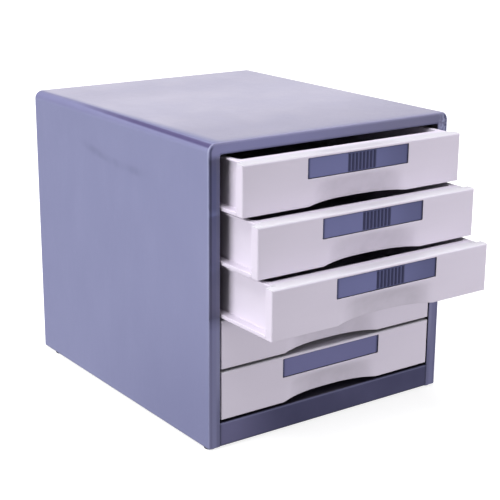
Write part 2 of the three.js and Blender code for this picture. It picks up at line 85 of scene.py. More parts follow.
# %% A socket that can stand in a sum
class Number:
    """A number that changes over a surface: one output socket of a node tree."""

    def __init__(self, tree, socket):
        self.tree = tree
        self.socket = socket

    def join(self, operation, *terms):
        node = self.tree.nodes.new("ShaderNodeMath")
        node.operation = operation
        for slot, term in zip(node.inputs, terms):
            if isinstance(term, Number):
                self.tree.links.new(term.socket, slot)
            else:
                slot.default_value = term
        return Number(self.tree, node.outputs[0])

    def __add__(self, other):
        return self.join("ADD", self, other)

    __radd__ = __add__

    def __sub__(self, other):
        return self.join("SUBTRACT", self, other)

    def __rsub__(self, other):
        return self.join("SUBTRACT", other, self)

    def __mul__(self, other):
        return self.join("MULTIPLY", self, other)

    __rmul__ = __mul__

    def __truediv__(self, other):
        return self.join("DIVIDE", self, other)

    def __pow__(self, other):
        return self.join("POWER", self, other)

    def __abs__(self):
        return self.join("ABSOLUTE", self)

    def __gt__(self, other):
        return self.join("GREATER_THAN", self, other)

    def __lt__(self, other):
        return self.join("LESS_THAN", self, other)

    def at_least(self, other):
        return self.join("MAXIMUM", self, other)

    def angle_from(self, other):
        """The angle, in radians, whose tangent is this number over the other."""
        return self.join("ARCTAN2", self, other)


# %% [markdown]
# Everything else that a finish needs comes from one method, `node`. It takes the node's type, the
# settings that have to be set first, and the values or links of its sockets. The pattern helpers under
# it read Object coordinates: each finished piece sits at the origin with its place in its mesh, so these
# are metres in the object's own frame, and a pattern keeps its real size.

# %% A material under construction
class Finish:
    """One material, from its pattern nodes to its shader."""

    def __init__(self, name):
        self.material = bpy.data.materials.new(name)
        self.material.use_nodes = True
        self.tree = self.material.node_tree
        self.tree.nodes.clear()
        self.place = self.node("ShaderNodeTexCoord", output="Object")

    def node(self, kind, settings=None, sockets=None, output=0):
        node = self.tree.nodes.new(kind)
        for key, value in (settings or {}).items():
            setattr(node, key, value)
        for key, value in (sockets or {}).items():
            if isinstance(value, Number):
                self.tree.links.new(value.socket, node.inputs[key])
            else:
                node.inputs[key].default_value = value
        return Number(self.tree, node.outputs[output]) if node.outputs else None

    def attribute(self, name):
        return self.node("ShaderNodeAttribute", {"attribute_name": name}, output="Vector")

    def axes(self, vector):
        split = self.node("ShaderNodeSeparateXYZ", sockets={0: vector}).socket.node
        return [Number(self.tree, socket) for socket in split.outputs]

    def stretched(self, vector, scale):
        return self.node("ShaderNodeMapping", sockets={"Vector": vector, "Scale": scale})

    def noise(self, size, detail=2.0, roughness=0.5, vector=None):
        """Cloudy noise from 0 to 1, whose spots are about size metres across."""
        vector = vector or self.place
        sockets = {"Vector": vector, "Scale": 1.0 / size, "Detail": detail, "Roughness": roughness}
        return self.node("ShaderNodeTexNoise", sockets=sockets)

    def between(self, value, low, high):
        """0 below low, 1 above high and a smooth step between; high may be the smaller one."""
        sockets = {"Value": value, "From Min": low, "From Max": high}
        return self.node("ShaderNodeMapRange", {"interpolation_type": "SMOOTHSTEP"}, sockets)

    def mixed(self, mask, first, second):
        """The first colour where the mask is 0 and the second where it is 1.

        A Mix node repeats its sockets for each kind of data, so its colour sockets go by number.
        """
        factor, colour_a, colour_b, colour_result = 0, 6, 7, 2
        sockets = {factor: mask, colour_a: first, colour_b: second}
        return self.node("ShaderNodeMix", {"data_type": "RGBA"}, sockets, output=colour_result)

    def bump(self, height, depth, below=None):
        """Height from 0 to 1 as relief that is depth metres deep."""
        sockets = {"Height": height, "Distance": depth, "Strength": 1.0}
        if below is not None:
            sockets["Normal"] = below
        return self.node("ShaderNodeBump", sockets=sockets)

    def shade(self, sockets):
        shader = self.node("ShaderNodeBsdfPrincipled", sockets=sockets)
        self.node("ShaderNodeOutputMaterial", sockets={"Surface": shader})
        return self.material


def shown(red, green, blue):
    """A colour as a screen shows it, 0 to 255, turned into light."""
    light = []
    for level in (red, green, blue):
        share = level / 255
        light.append(((share + 0.055) / 1.055) ** 2.4 if share > 0.04045 else share / 12.92)
    return (*light, 1.0)


# %% [markdown]
# ## The case paint
#
# The case is powder coated in a satin blue-grey. Powder melts into a skin with a fine orange peel, about
# a millimetre from wave to wave, and its gloss shifts slightly where cloths and hands have rubbed it.
# A painted picture of each panel could carry all that, but masks on the object's own coordinates keep
# their real size on every side. They need the case's outside and a few sizes of its folded sheet.

# %% Sizes of the case that the paint needs
case_low, case_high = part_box("outer_shell")
case_front = case_low.y
case_back = case_high.y
sheet = 0.0012
fold_radius = 0.0012
corner_radius = 0.009
corner_x = case_high.x - corner_radius
corner_z = case_high.z - corner_radius
top_rim_height = 0.0117
side_rim_width = 0.013
opening_top = case_high.z - top_rim_height
print("case from", tuple(case_low), "to", tuple(case_high))

# %% Tones of the case paint
fresh_paint = shown(109, 111, 142)
rubbed_paint = shown(112, 114, 145)
low_shade_paint = shown(100, 102, 133)
side_band_tone = shown(40, 42, 66)
near_dust_and_sheen = shown(139, 136, 152)
far_dust_and_sheen = shown(154, 151, 166)
edge_shade_tone = shown(60, 54, 90)
inside_tone = shown(14, 13, 22)
rim_low = shown(103, 103, 134)
rim_high = shown(97, 103, 145)
rim_right_shade_tone = shown(76, 74, 104)
rim_top_left = shown(107, 107, 143)
rim_top_right_shade_tone = shown(93, 92, 117)
top_fold_highlight_tone = shown(146, 143, 170)
inner_edge_highlight = shown(112, 112, 140)
inner_edge_shade = shown(78, 78, 106)
fold_highlight_and_chip_tone = shown(150, 153, 182)
fold_shade_tone = shown(44, 46, 76)
print("fresh paint as light:", [round(share, 3) for share in fresh_paint[:3]])

# %% [markdown]
# Most masks ask the same questions of a point: how far round a long edge it lies, how far back, how far
# in from the outline. One small class answers them once for the whole paint. A range in the cells below
# is a pair of places, angles or levels: its mask is 0 at the first and 1 at the second, with a smooth
# step between them.

# %% Where a point of the shell lies
class ShellPlace:
    """What a point's coordinates mean on the folded shell."""

    def __init__(self, paint):
        face_range = (case_front + 0.0007, case_front + 0.0002)
        side_angle_range = (0.3, 1.0)
        self.x, self.y, self.z = paint.axes(paint.place)
        self.out_x = (abs(self.x) - corner_x).at_least(0.0)
        self.out_z = (self.z - corner_z).at_least(0.0)
        self.from_corner_line = (self.out_x * self.out_x + self.out_z * self.out_z) ** 0.5
        self.around = self.out_x.angle_from(self.out_z)
        self.from_outline = corner_radius - self.from_corner_line
        self.from_side = case_high.x - abs(self.x)
        self.from_top = case_high.z - self.z
        self.back_share = (self.y - case_front) / (case_back - case_front)
        self.on_face = paint.between(self.y, *face_range)
        self.on_upright = paint.between(self.around, *side_angle_range)

    def inside(self):
        """1 on the inner side of the sheet, behind the rim's face and above the bottom flanges."""
        behind_rim = self.y > case_front + 0.75 * sheet
        above_flange = self.z > case_low.z + 0.5 * sheet
        ahead_of_back = self.y < case_back - 0.5 * sheet
        under_skin = self.from_corner_line < corner_radius - 0.5 * sheet
        return under_skin * behind_rim * above_flange * ahead_of_back


# %% [markdown]
# The paint starts as two close tones in clouds and specks, and low down near the front it is painted a
# little deeper, as shade. Three marks lie over it. A faint darker band runs along the left side, below the
# top edge, and bends up towards the back. A thin haze of dust, with painted sheen, makes the top paler
# than the sides, and thins out towards the front fold and the long edges. A painted shade line lies on
# those rounded edges and fades towards the back. Each mark is a mask that mixes its own tone over what
# lies below.

# %% The tone of the paint and its marks
def shell_tone(paint, spot, clouds, specks):
    height_range = (0.16, 0.0)
    front_range = (0.15, -0.10)
    blend = paint.between(clouds, 0.3, 0.7) * 0.5 + specks * 0.3
    tone = paint.mixed(blend, fresh_paint, rubbed_paint)
    # Low down near the front the paint is painted a little deeper, as shade.
    low_front_shade = paint.between(spot.z, *height_range) * paint.between(spot.y, *front_range)
    return paint.mixed(low_front_shade, tone, low_shade_paint)


def with_side_band(paint, spot, below):
    middle_height = 0.2565
    width_range = (0.0065, 0.0005)
    front_end_range = (-0.040, -0.005)
    back_end_range = (0.115, 0.080)
    # A faint darker band along the left side, below the top edge, bending up towards the back.
    from_middle = abs(spot.z - (middle_height + spot.y * spot.y))
    ends = paint.between(spot.y, *front_end_range) * paint.between(spot.y, *back_end_range)
    side_band = paint.between(from_middle, *width_range) * ends * (spot.x < 0.0)
    patches = paint.between(paint.noise(size=0.018, detail=2.0), 0.35, 0.65)
    return paint.mixed(side_band * (0.07 + 0.10 * patches), below, side_band_tone)


def top_dust_and_sheen(paint, spot, clouds):
    """How thick the dust and painted sheen lie: 0 off the top, and up to 1 on it."""
    clean_edge = 0.004
    front_margin = 0.022
    margin_loss = 0.010
    near_front_range = (case_front + 0.012, case_front)
    rear_fold_range = (case_back - 0.0004, case_back - 0.0012)
    # Dust with painted sheen: the top is painted paler than the sides.
    hazy_from = (front_margin - margin_loss * spot.back_share) * (1 - 0.5 * (spot.x > 0.0))
    near_front = paint.between(spot.y, *near_front_range)
    thin = paint.between(spot.from_side, clean_edge, hazy_from) * (1 - 0.45 * near_front)
    on_top = (spot.z > corner_z) * paint.between(spot.y, *rear_fold_range)
    return thin * on_top * (0.88 + 0.12 * paint.between(clouds, 0.35, 0.7))


def with_edge_shade(paint, spot, below):
    front_angle = 0.79
    angle_loss = 0.50
    line_range = (0.47, 0.12)
    fading_range = (1.05, 0.35)
    round_height = 0.0035
    round_width = 0.002
    # A painted shade line on the rounded long edges, which fades towards the back.
    from_line = abs(spot.around - (front_angle - angle_loss * spot.back_share))
    fading = paint.between(spot.back_share, *fading_range)
    line = paint.between(from_line, *line_range) * (spot.out_z > 0.0) * fading
    rounding = paint.between(spot.out_z, 0.0, round_height) * paint.between(spot.out_x, 0.0, round_width)
    edge_shade = line.at_least(rounding * (0.26 + 0.14 * spot.back_share))
    return paint.mixed(edge_shade, below, edge_shade_tone)


# %% [markdown]
# The sheet turns in round the opening and makes a rim, with an upright on each side. Its face is a little
# darker than the sides. Painted shade makes it darker still on the right upright and at the top right,
# and changes its tone with height. Along the front edge of the top runs a painted highlight, and along
# the edge over the opening a painted shade.

# %% The face of the rim
def rim_tone(paint, spot):
    upright_range = (0.10, 0.27)
    right_range = (0.10, 0.14)
    right_height_range = (0.29, 0.25)
    top_range = (-0.12, 0.12)
    near_top_range = (opening_top - 0.022, opening_top + 0.004)
    top_fold_width = 0.0035
    opening_edge_width = 0.0024
    opening_corner = 0.001
    edge_strength = 0.6
    # Painted shade: the rim's tone changes with height, and it is darker on the right upright and at the
    # top right.
    left_tone = paint.mixed(paint.between(spot.z, *upright_range), rim_low, rim_high)
    right_upright_shade = paint.between(spot.x, *right_range) * paint.between(spot.z, *right_height_range)
    upright = paint.mixed(right_upright_shade * 0.35, left_tone, rim_right_shade_tone)
    top_tone = paint.mixed(paint.between(spot.x, *top_range), rim_top_left, rim_top_right_shade_tone)
    rim = paint.mixed(paint.between(spot.z, *near_top_range), upright, top_tone)
    # A painted highlight along the front edge of the top.
    top_fold_highlight = paint.between(spot.from_top, top_fold_width, 0.0)
    folded = paint.mixed(top_fold_highlight * edge_strength, rim, top_fold_highlight_tone)
    # A painted shade along the edge over the opening.
    over_opening = (spot.z > opening_top - opening_corner) * (spot.from_side > side_rim_width)
    opening_edge_shade = paint.between(spot.z, opening_top + opening_edge_width, opening_top) * over_opening
    return paint.mixed(opening_edge_shade * edge_strength, folded, fold_shade_tone)


# %% [markdown]
# The uprights show their folds as painted lines. The fold to the side has a painted highlight, with a
# painted shade line beside it. Where the sheet turns back into the case there is one more: a painted
# highlight that turns into painted shade low down. The corner at the top right has lost a few specks of
# paint.

# %% The lines on the uprights
def with_fold_shade_line(paint, spot, below):
    outer_range = (0.0012, 0.0020)
    inner_range = (0.0046, 0.0030)
    height_range = (0.06, 0.24)
    # A painted shade line beside the side fold, stronger higher up.
    line = paint.between(spot.from_outline, *outer_range) * paint.between(spot.from_outline, *inner_range)
    strength = 0.25 + 0.55 * paint.between(spot.z, *height_range)
    return paint.mixed(line * spot.on_face * spot.on_upright * strength, below, fold_shade_tone)


def with_inner_edge_light(paint, spot, below):
    side_range = (0.0075, 0.0105)
    height_range = (opening_top, opening_top - 0.003)
    low_range = (0.08, 0.03)
    # A painted highlight along the inner fold, turning into painted shade low down.
    beside_opening = paint.between(spot.z, *height_range)
    edge = paint.between(spot.from_side, *side_range) * spot.on_face * beside_opening
    tone = paint.mixed(paint.between(spot.z, *low_range), inner_edge_highlight, inner_edge_shade)
    return paint.mixed(edge * 0.6, below, tone)


def with_chipped_corner(paint, spot, specks, below):
    right_range = (case_high.x - 0.014, case_high.x - 0.008)
    top_range = (case_high.z - 0.023, case_high.z - 0.017)
    corner = spot.on_face * paint.between(spot.x, *right_range) * paint.between(spot.z, *top_range)
    return paint.mixed(corner * paint.between(specks, 0.42, 0.62) * 0.5, below, fold_highlight_and_chip_tone)


def with_fold_highlight(paint, spot, below):
    outline_range = (0.0016, 0.0008)
    height_range = (0.06, 0.22)
    # A painted highlight along the side fold.
    at_front = spot.y < case_front + fold_radius
    strength = spot.on_upright * (0.3 + 0.7 * paint.between(spot.z, *height_range))
    line = paint.between(spot.from_outline, *outline_range) * at_front * strength
    return paint.mixed(line * 0.5, below, fold_highlight_and_chip_tone)


# %% [markdown]
# The whole paint puts these layers over each other. What faces into the case comes last and is nearly
# black, because hardly any light gets in past the drawers. Shell, back and base share the one material.
# The orange peel is relief and no colour: it shows only where it bends the light.

# %% The paint of the shell, back and base
def powder_coat(paint, colour, gloss):
    """A colour under the skin of melted powder, with its fine orange peel."""
    peel = paint.noise(size=0.0011, detail=1.5)
    relief = paint.bump(peel, depth=0.00003)
    return paint.shade({"Base Color": colour, "Roughness": gloss, "Normal": relief, "IOR": 1.5})


def painted_steel(name):
    paint = Finish(name)
    spot = ShellPlace(paint)
    clouds = paint.noise(size=0.06, detail=3.0)
    specks = paint.noise(size=0.0025, detail=2.0)
    upright = paint.stretched(paint.place, (1.0, 1.0, 0.35))
    rubs = paint.noise(size=0.02, detail=4.0, roughness=0.6, vector=upright)
    dust_and_sheen = top_dust_and_sheen(paint, spot, clouds)
    # The tone of the dust and painted sheen, paler towards the back.
    dust_and_sheen_tone = paint.mixed(paint.between(spot.back_share, 0.02, 0.5), near_dust_and_sheen, far_dust_and_sheen)
    inside = spot.inside()

    side = with_side_band(paint, spot, shell_tone(paint, spot, clouds, specks))
    skin = with_edge_shade(paint, spot, paint.mixed(dust_and_sheen, side, dust_and_sheen_tone))
    faced = paint.mixed(spot.on_face, skin, rim_tone(paint, spot))
    lined = with_inner_edge_light(paint, spot, with_fold_shade_line(paint, spot, faced))
    highlighted = with_fold_highlight(paint, spot, with_chipped_corner(paint, spot, specks, lined))
    colour = paint.mixed(inside, highlighted, inside_tone)

    gloss = 0.38 + 0.10 * paint.between(rubs, 0.4, 0.7) + 0.10 * dust_and_sheen + 0.2 * inside
    return powder_coat(paint, colour, gloss)


case_paint = painted_steel("case_paint")
print("made", case_paint.name)


# %% [markdown]
# ## The plinth paint
#
# The channel under the lowest drawer is darker than the shell. Its top runs back under that drawer, where
# no light gets in, and is painted in shade there; its front lip has a painted highlight. It is painted
# lighter towards the left, as light, and darker along its bottom edge, as shade, and its ends show dark
# seams. The same kind of paint is used, with its own tones.

# %% The paint of the plinth
plinth_deep = shown(42, 42, 69)
plinth_pale = shown(90, 88, 120)
lip_highlight_tone = shown(128, 130, 162)
under_drawer_tone = shown(30, 29, 42)
seam_and_shade_tone = shown(36, 38, 56)


def plinth_coat():
    paint = Finish("plinth_paint")
    x, y, z = paint.axes(paint.place)
    low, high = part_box("front_plinth")
    lit_left_range = (-0.05, -0.13)
    lip_range = (high.z - 0.0022, high.z - 0.0006)
    under_drawer_range = (low.y + 0.0010, low.y + 0.0022)
    end_range = (high.x - 0.003, high.x)
    bottom_shade_range = (low.z + 0.0030, low.z + 0.0008)
    clouds = paint.noise(size=0.05, detail=3.0)
    # Painted light: the plinth is painted lighter towards the left.
    tone = paint.mixed(0.4 * clouds + 0.6 * paint.between(x, *lit_left_range), plinth_deep, plinth_pale)
    # A painted highlight on the lip.
    highlighted = paint.mixed(paint.between(z, *lip_range) * 0.3, tone, lip_highlight_tone)
    shaded = paint.mixed(paint.between(y, *under_drawer_range), highlighted, under_drawer_tone)
    # The ends are dark seams; the bottom edge gets a painted shade.
    ends = paint.between(abs(x), *end_range) * 0.5
    bottom = paint.between(z, *bottom_shade_range) * 0.6
    colour = paint.mixed(ends.at_least(bottom), shaded, seam_and_shade_tone)
    gloss = 0.4 + 0.12 * clouds
    return powder_coat(paint, colour, gloss)


plinth_paint = plinth_coat()
print("made", plinth_paint.name)


# %% [markdown]
# ## The drawer plastic
#
# Fronts and trays are moulded in a pale plastic with a faint violet cast. A mould's surface is etched,
# so the plastic has a fine even grain, and the melt leaves broad, barely visible flow bands across the
# width. Fingers pull at the scoop, so that hollow is a little shinier and greyer, and it is painted darker
# right under the label, as shade. The ledge on top of a front is painted a neutral grey, a painted
# highlight that stands for its white under the light above, and the label's pocket is painted dark, as
# the shade in its gap. These marks have to sit at the same spots on all five drawers, wherever a drawer
# stands, so they read an attribute that holds each point's place in its own drawer. The attribute is made
# later, when the drawers are placed.

# %% Places on a drawer that its marks need
label_shift = 0.0024
label_low, label_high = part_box("drawer_5_label_plate")
front_low, front_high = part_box("drawer_5_front")
drawer_zero = Vector((0.0, front_low.y, front_low.z))
label_middle = (label_low + label_high) / 2 - drawer_zero
label_size = label_high - label_low
label_half = label_size / 2
front_height = front_high.z - front_low.z
print("label plate:", round(label_size.x * 1000, 1), "by", round(label_size.z * 1000, 1), "mm")


# %% The finish of fronts and trays
pale_plastic = shown(187, 180, 194)
deep_plastic = shown(183, 176, 190)
ledge_highlight_tone = shown(174, 173, 179)
scoop_wear_and_shade_tone = shown(150, 144, 156)
pocket_shade_tone = shown(52, 50, 66)


def scoop_wear_and_shade(plastic, x, y, z):
    """How much fingers have worn a point, with painted shade: only in the scoop, most right under the
    label.
    """
    width_range = (0.061, 0.036)
    front_range = (0.0002, 0.003)
    back_range = (0.012, 0.0105)
    below_label_range = (0.020, 0.0265)
    label_edge_range = (0.0280, 0.0268)
    across = plastic.between(abs(x - label_shift), *width_range)
    in_scoop = across * plastic.between(y, *front_range) * plastic.between(y, *back_range)
    # Painted shade: darkest right under the label.
    under_label = plastic.between(z, *below_label_range) * plastic.between(z, *label_edge_range)
    handling = plastic.between(plastic.noise(size=0.018, detail=4.0, roughness=0.6), 0.35, 0.7)
    return in_scoop * (0.4 + 0.3 * handling + 0.5 * under_label)


def label_pocket(plastic, x, y, z):
    """1 in the recess that holds the label plate, painted dark as the shade in its gap."""
    width_range = (label_half.x + 0.0007, label_half.x + 0.0006)
    height_range = (label_half.z + 0.0007, label_half.z + 0.0006)
    front_range = (0.0001, 0.0003)
    back_range = (0.0060, 0.0055)
    across = plastic.between(abs(x - label_middle.x), *width_range)
    upwards = plastic.between(abs(z - label_middle.z), *height_range)
    return across * upwards * plastic.between(y, *front_range) * plastic.between(y, *back_range)


def ledge_top(plastic, y, z):
    """1 on the front part of the ledge on top of a front."""
    skin = 0.0008
    depth_range = (0.0145, 0.0135)
    return (z > front_height - skin) * plastic.between(y, *depth_range)


def drawer_plastic_finish():
    plastic = Finish("drawer_plastic")
    own = plastic.attribute("own_place")
    x, y, z = plastic.axes(own)
    banded = plastic.stretched(own, (0.35, 1.0, 1.6))
    flow = plastic.noise(size=0.05, detail=2.0, vector=banded)
    grain = plastic.noise(size=0.0007, detail=2.0, roughness=0.6)
    mottle = plastic.noise(size=0.004, detail=3.0, roughness=0.6)
    wear_and_shade = scoop_wear_and_shade(plastic, x, y, z)
    blend = plastic.between(flow, 0.3, 0.7) * 0.7 + mottle * 0.3
    tone = plastic.mixed(blend, pale_plastic, deep_plastic)
    # The ledge is painted a neutral grey, a painted highlight.
    lit_ledge = plastic.mixed(ledge_top(plastic, y, z) * 0.8, tone, ledge_highlight_tone)
    used = plastic.mixed(wear_and_shade * 0.6, lit_ledge, scoop_wear_and_shade_tone)
    # Painted shade in the label's pocket.
    colour = plastic.mixed(label_pocket(plastic, x, y, z), used, pocket_shade_tone)
    gloss = 0.48 + 0.08 * flow - 0.12 * wear_and_shade + 0.06 * mottle
    relief = plastic.bump(grain, depth=0.00002, below=plastic.bump(flow, depth=0.0001))
    return plastic.shade({"Base Color": colour, "Roughness": gloss, "Normal": relief, "IOR": 1.48})


drawer_plastic = drawer_plastic_finish()
print("made", drawer_plastic.name)


# %% [markdown]
# ## The label plastic
#
# Each front carries a narrow plate in blue-grey plastic. It is smoother than the drawers, with a soft
# sheen and very fine lines along its length where the mould was polished. The upright bars in its middle
# are a shade darker, and so is the field that they stand on. Its ends and its right part are painted
# darker, as shade. One function makes all three finishes.

# %% The finishes of label plates and bars
bar_field_shift = 0.0038
bar_field_half = 0.018
label_shade_and_field_tone = shown(44, 45, 72)


def label_finish(name, tone, other_tone, field_strength=0.0, right_shade_strength=0.1):
    plastic = Finish(name)
    own = plastic.attribute("own_place")
    end_range = (label_half.x - 0.0032, label_half.x - 0.0010)
    field_range = (bar_field_half + 0.0003, bar_field_half - 0.0003)
    right_range = (-0.01, 0.07)
    drawn_out = plastic.stretched(own, (0.03, 1.0, 1.0))
    lines = plastic.noise(size=0.0006, detail=2.0, vector=drawn_out)
    clouds = plastic.noise(size=0.02, detail=3.0)
    along = plastic.axes(own)[0] - label_middle.x
    # Painted shade at the ends and on the right part; the darker field is the plate's own.
    ends = plastic.between(abs(along), *end_range) * 0.8
    field = plastic.between(abs(along - bar_field_shift), *field_range) * field_strength
    right_shade = plastic.between(along, *right_range) * right_shade_strength
    base = plastic.mixed(0.5 * clouds + 0.5 * lines, tone, other_tone)
    colour = plastic.mixed(ends.at_least(field).at_least(right_shade), base, label_shade_and_field_tone)
    gloss = 0.44 + 0.12 * clouds
    relief = plastic.bump(lines, depth=0.000012)
    return plastic.shade({"Base Color": colour, "Roughness": gloss, "Normal": relief, "IOR": 1.5})


label_plastic = label_finish("label_plastic", shown(92, 92, 130), shown(98, 98, 136))
barred_plastic = label_finish("barred_label_plastic", shown(91, 93, 132), shown(97, 99, 138), 0.5, 0.45)
bar_plastic = label_finish("bar_plastic", shown(40, 41, 68), shown(46, 47, 75))
print("made", label_plastic.name, barred_plastic.name, "and", bar_plastic.name)


# %% [markdown]
# ## Steel and rubber
#
# The rails and screws are zinc plated. Plated sheet shows small crystals with slightly different greys
# and gloss, and a rail carries fine rubbed lines along its length where a drawer slides. The feet are
# black rubber, matt, with a powdery bloom.

# %% The finishes of rails, screws and feet
crystals_per_metre = 180.0


def zinc_finish(name, rub_stretch):
    zinc = Finish(name)
    cells = {"Vector": zinc.place, "Scale": crystals_per_metre}
    crystals = zinc.node("ShaderNodeTexVoronoi", sockets=cells)
    drawn_out = zinc.stretched(zinc.place, rub_stretch)
    rubbed = zinc.noise(size=0.0008, detail=2.0, roughness=0.6, vector=drawn_out)
    clouds = zinc.noise(size=0.015, detail=3.0)
    colour = zinc.mixed(0.5 * crystals + 0.4 * clouds, shown(176, 178, 184), shown(132, 135, 142))
    gloss = 0.26 + 0.18 * rubbed + 0.12 * crystals
    relief = zinc.bump(rubbed, depth=0.00001)
    return zinc.shade({"Base Color": colour, "Metallic": 1.0, "Roughness": gloss, "Normal": relief})


def rubber_finish():
    rubber = Finish("foot_rubber")
    grain = rubber.noise(size=0.0009, detail=3.0, roughness=0.7)
    bloom = rubber.noise(size=0.006, detail=3.0)
    colour = rubber.mixed(rubber.between(bloom, 0.4, 0.8), shown(30, 30, 34), shown(62, 62, 68))
    relief = rubber.bump(grain, depth=0.00006)
    return rubber.shade({"Base Color": colour, "Roughness": 0.75 + 0.15 * bloom, "Normal": relief})


rail_zinc = zinc_finish("rail_zinc", rub_stretch=(1.0, 0.04, 1.0))
screw_zinc = zinc_finish("screw_zinc", rub_stretch=(1.0, 1.0, 1.0))
foot_rubber = rubber_finish()
print("made", rail_zinc.name, screw_zinc.name, foot_rubber.name)


# %% [markdown]
# ## Soft edges on folded sheet and moulded plastic
#
# No real edge is razor sharp: folded sheet has a small radius and a moulding is rounded by its tool.
# That narrow round is what catches the light. The CAD solids are loose triangles, so a copy is merged
# first, and flat areas are dissolved back into single faces. A Bevel modifier then rounds every edge
# sharper than a set angle, and Weighted Normal keeps the large faces flat. Modelling each round by hand
# would take far longer and look the same.

# %% Merge a copy of a solid
merge_distance = 0.00002
flat_angle = math.radians(0.8)
crease_angle = math.radians(30)


def merged_copy(solid_name, origin=Vector((0.0, 0.0, 0.0))):
    """A clean mesh of one CAD solid, moved so that origin is its zero."""
    mesh = solids[solid_name].data.copy()
    mesh.materials.clear()
    work = bmesh.new()
    work.from_mesh(mesh)
    bmesh.ops.remove_doubles(work, verts=work.verts, dist=merge_distance)
    bmesh.ops.dissolve_degenerate(work, edges=work.edges, dist=merge_distance)
    bmesh.ops.dissolve_limit(work, angle_limit=flat_angle, verts=work.verts, edges=work.edges)
    bmesh.ops.translate(work, verts=work.verts, vec=-origin)
    work.to_mesh(mesh)
    work.free()
    mesh.shade_smooth()
    mesh.set_sharp_from_angle(angle=crease_angle)
    return mesh


# %% Round the edges of an object
edge_angle = math.radians(40)


def soften(piece, width):
    """Round every edge sharper than edge_angle over width metres."""
    bevel = piece.modifiers.new("rounded edges", "BEVEL")
    bevel.width = width
    bevel.segments = 2
    bevel.limit_method = "ANGLE"
    bevel.angle_limit = edge_angle
    bevel.use_clamp_overlap = False
    bevel.miter_outer = "MITER_ARC"
    bevel.harden_normals = True
    weighted = piece.modifiers.new("flat faces stay flat", "WEIGHTED_NORMAL")
    weighted.keep_sharp = True


# %% [markdown]
# ## One tree that places every repeated piece
#
# Drawers, screws, feet and label bars all repeat. One Geometry Nodes tree places them: it takes a
# pattern piece, lays out columns and rows of points, puts a copy on each point and gives it a material.
# It also stores each point's place in the pattern piece as the attribute `own_place`, before the copy is
# moved, which is what the plastic's finish reads. The tree ends in Realize Instances and Set Material,
# so that its result is plain mesh.

# %% Build the tree
tree_inputs = {
    "Pattern piece": "NodeSocketObject",
    "Columns": "NodeSocketInt",
    "Column step": "NodeSocketVector",
    "Rows": "NodeSocketInt",
    "Row step": "NodeSocketVector",
    "First place": "NodeSocketVector",
    "Turn": "NodeSocketRotation",
    "Finish": "NodeSocketMaterial",
}


def rows_of_copies():
    tree = bpy.data.node_groups.new("rows_of_copies", "GeometryNodeTree")
    for label, kind in tree_inputs.items():
        tree.interface.new_socket(label, in_out="INPUT", socket_type=kind)
    tree.interface.new_socket("Geometry", in_out="OUTPUT", socket_type="NodeSocketGeometry")

    def add(kind, **links):
        """A node whose sockets are given by name, with an underscore for each space."""
        node = tree.nodes.new(kind)
        for key, value in links.items():
            slot = node.inputs[key.replace("_", " ")]
            if isinstance(value, bpy.types.NodeSocket):
                tree.links.new(value, slot)
            else:
                slot.default_value = value
        return node

    given = tree.nodes.new("NodeGroupInput").outputs
    columns = add("GeometryNodeMeshLine", Count=given["Columns"], Offset=given["Column step"])
    tree.links.new(given["First place"], columns.inputs["Start Location"])
    rows = add("GeometryNodeMeshLine", Count=given["Rows"], Offset=given["Row step"])
    grid = add("GeometryNodeInstanceOnPoints", Points=columns.outputs[0], Instance=rows.outputs[0])
    places = add("GeometryNodeRealizeInstances", Geometry=grid.outputs[0])
    pattern = add("GeometryNodeObjectInfo", Object=given["Pattern piece"])
    position = tree.nodes.new("GeometryNodeInputPosition")
    remember = tree.nodes.new("GeometryNodeStoreNamedAttribute")
    remember.data_type = "FLOAT_VECTOR"
    remember.domain = "POINT"
    remember.inputs["Name"].default_value = "own_place"
    tree.links.new(pattern.outputs["Geometry"], remember.inputs["Geometry"])
    tree.links.new(position.outputs[0], remember.inputs["Value"])
    copies = add(
        "GeometryNodeInstanceOnPoints",
        Points=places.outputs[0],
        Instance=remember.outputs[0],
        Rotation=given["Turn"],
    )
    plain = add("GeometryNodeRealizeInstances", Geometry=copies.outputs[0])
    painted = add("GeometryNodeSetMaterial", Geometry=plain.outputs[0], Material=given["Finish"])
    result = tree.nodes.new("NodeGroupOutput")
    tree.links.new(painted.outputs[0], result.inputs["Geometry"])
    return tree


copies_tree = rows_of_copies()
input_identifiers = {
    item.name: item.identifier for item in copies_tree.interface.items_tree if item.in_out == "INPUT"
}
print("tree inputs:", ", ".join(input_identifiers))


# %% [markdown]
# A Geometry Nodes modifier is set through its sockets' identifiers, before the object is first
# evaluated. `placed` does that, rounds the edges with the modifiers above, and turns the evaluated
# result into a plain mesh. The modifiers are gone before the piece is tied to a moving body. A turned or
# drawn piece already has its rounds, so it gets no width: only its sharp edges are marked.

# %% Place copies and keep a plain mesh
def new_piece(name, data):
    """An object that shows a mesh or a light, linked to the scene."""
    piece = bpy.data.objects.new(name, data)
    bpy.context.scene.collection.objects.link(piece)
    return piece


def plain_mesh(piece):
    """Replace an object's live modifiers by the mesh they make."""
    bpy.context.view_layer.update()
    evaluated = piece.evaluated_get(bpy.context.evaluated_depsgraph_get())
    mesh = bpy.data.meshes.new_from_object(evaluated)
    piece.modifiers.clear()
    piece.data = mesh
    mesh.name = piece.name


